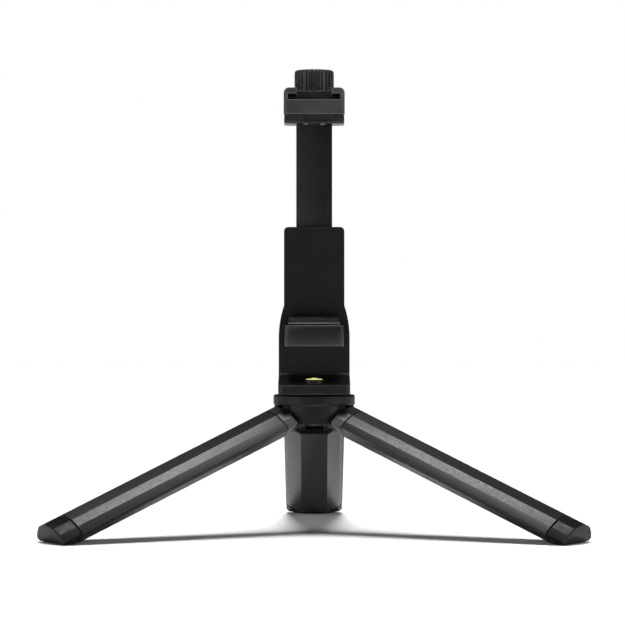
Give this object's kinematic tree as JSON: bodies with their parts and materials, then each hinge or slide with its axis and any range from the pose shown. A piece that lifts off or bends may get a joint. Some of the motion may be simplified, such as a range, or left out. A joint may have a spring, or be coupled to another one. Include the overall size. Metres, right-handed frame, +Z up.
{
  "type": "phone tripod",
  "caption": "Tabletop tripod with folding faceted legs and a screw-driven phone clamp, with an accessory shoe on top and a round spirit level on its base.",
  "frame": {"origin": "on the surface that the tripod stands on, under the middle of the whole object's box; the tripod's own axis is at X = 0, Y = -0.0230 m", "axes": "+Z up, along the tripod's axis; the phone clamp opens towards -Y; one leg points to +Y, the other two to -Y and either side"},
  "size_m": [0.191, 0.1677, 0.167],
  "materials": {
    "black_plastic": "fine moulded texture, satin black",
    "black_aluminium": "bead-blasted, black anodised",
    "black_rubber": "matt",
    "steel": "machined",
    "brass": "machined",
    "level_vial": "clear gloss over yellow-green fluid"
  },
  "bodies": {
    "tripod_hub": {"hub_body": "black_plastic", "head_pad": "black_rubber", "mounting_stud": "steel"},
    "leg_left": {"leg_left_knuckle": "black_plastic", "leg_left_tube": "black_aluminium", "leg_left_foot_cap": "black_plastic", "leg_left_sole": "black_rubber", "leg_left_hinge_pin": "steel"},
    "leg_right": {"leg_right_knuckle": "black_plastic", "leg_right_tube": "black_aluminium", "leg_right_foot_cap": "black_plastic", "leg_right_sole": "black_rubber", "leg_right_hinge_pin": "steel"},
    "leg_rear": {"leg_rear_knuckle": "black_plastic", "leg_rear_tube": "black_aluminium", "leg_rear_foot_cap": "black_plastic", "leg_rear_sole": "black_rubber", "leg_rear_hinge_pin": "steel"},
    "clamp": {"clamp_body": "black_plastic", "rear_cover": "black_plastic", "cover_screw_1": "steel", "cover_screw_2": "steel", "cover_screw_3": "steel", "cover_screw_4": "steel", "lead_nut": "brass", "nut_screw": "steel", "level_ring": "black_plastic", "level_vial": "level_vial", "thread_insert": "brass", "lower_jaw": "black_plastic", "lower_jaw_screw_1": "steel", "lower_jaw_screw_2": "steel", "lower_pad": "black_rubber"},
    "sliding_jaw": {"upper_jaw": "black_plastic", "upper_pad": "black_rubber", "slide_post": "black_aluminium", "post_screw_1": "steel", "post_screw_2": "steel"},
    "clamp_screw": {"knob": "black_plastic", "lead_screw": "steel", "retaining_clip": "steel", "knob_washer": "brass"}
  },
  "joints": [
    {"name": "leg_left_fold", "type": "hinge", "parent": "tripod_hub", "child": "leg_left", "pos_m": [-0.00606, -0.02646, 0.04257], "axis": [0.5, -0.866, 0], "range_deg": [0, 66.8]},
    {"name": "leg_right_fold", "type": "hinge", "parent": "tripod_hub", "child": "leg_right", "pos_m": [0.00606, -0.02646, 0.04257], "axis": [0.5, 0.866, 0], "range_deg": [0, 66.8]},
    {"name": "leg_rear_fold", "type": "hinge", "parent": "tripod_hub", "child": "leg_rear", "pos_m": [0, -0.01596, 0.04257], "axis": [-1, 0, 0], "range_deg": [0, 66.8]},
    {"name": "clamp_swivel", "type": "hinge", "parent": "tripod_hub", "child": "clamp", "pos_m": [0, -0.02296, 0.05], "axis": [0, 0, 1], "continuous": true},
    {"name": "jaw_slide", "type": "slide", "parent": "clamp", "child": "sliding_jaw", "axis": [0, 0, 1], "range_m": [-0.012, 0.0176]},
    {"name": "knob_turn", "type": "hinge", "parent": "sliding_jaw", "child": "clamp_screw", "pos_m": [0, -0.01396, 0.16], "axis": [0, 0, 1], "range_deg": [-2165, 3175]}
  ],
  "couplings": [
    {"joint": "knob_turn", "follows": "jaw_slide", "rad_per_m": 3141.6}
  ]
}
